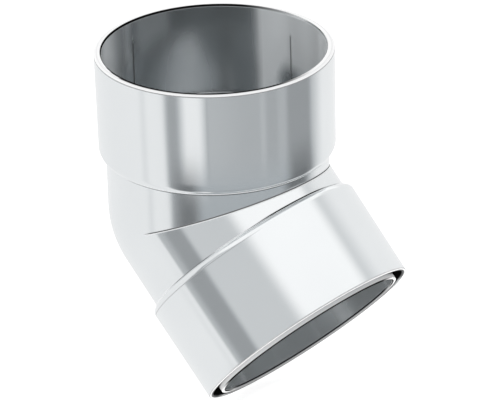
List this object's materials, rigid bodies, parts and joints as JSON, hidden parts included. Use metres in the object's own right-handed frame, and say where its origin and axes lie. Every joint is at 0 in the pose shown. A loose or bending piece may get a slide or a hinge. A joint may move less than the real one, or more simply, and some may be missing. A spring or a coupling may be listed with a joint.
{
  "type": "pipe elbow",
  "caption": "Moulded silver-grey PVC elbow for a round rainwater downpipe: plain upper socket, short mitred body, and a lower sleeve around an inner spigot.",
  "frame": {"origin": "centre of the upper socket's seat, on the socket's axis, where the end of the pipe from above rests", "axes": "+Z along the socket's axis, out of its mouth; the lower axis lies in the XZ plane and leaves towards +X and -Z at 45 degrees to the socket's axis; +Y completes the frame"},
  "size_m": [0.1069, 0.0806, 0.1216],
  "materials": {
    "silver_pvc": "gloss, silver-grey with a metallic pigment"
  },
  "bodies": {
    "root": {"elbow": "silver_pvc"}
  },
  "joints": []
}
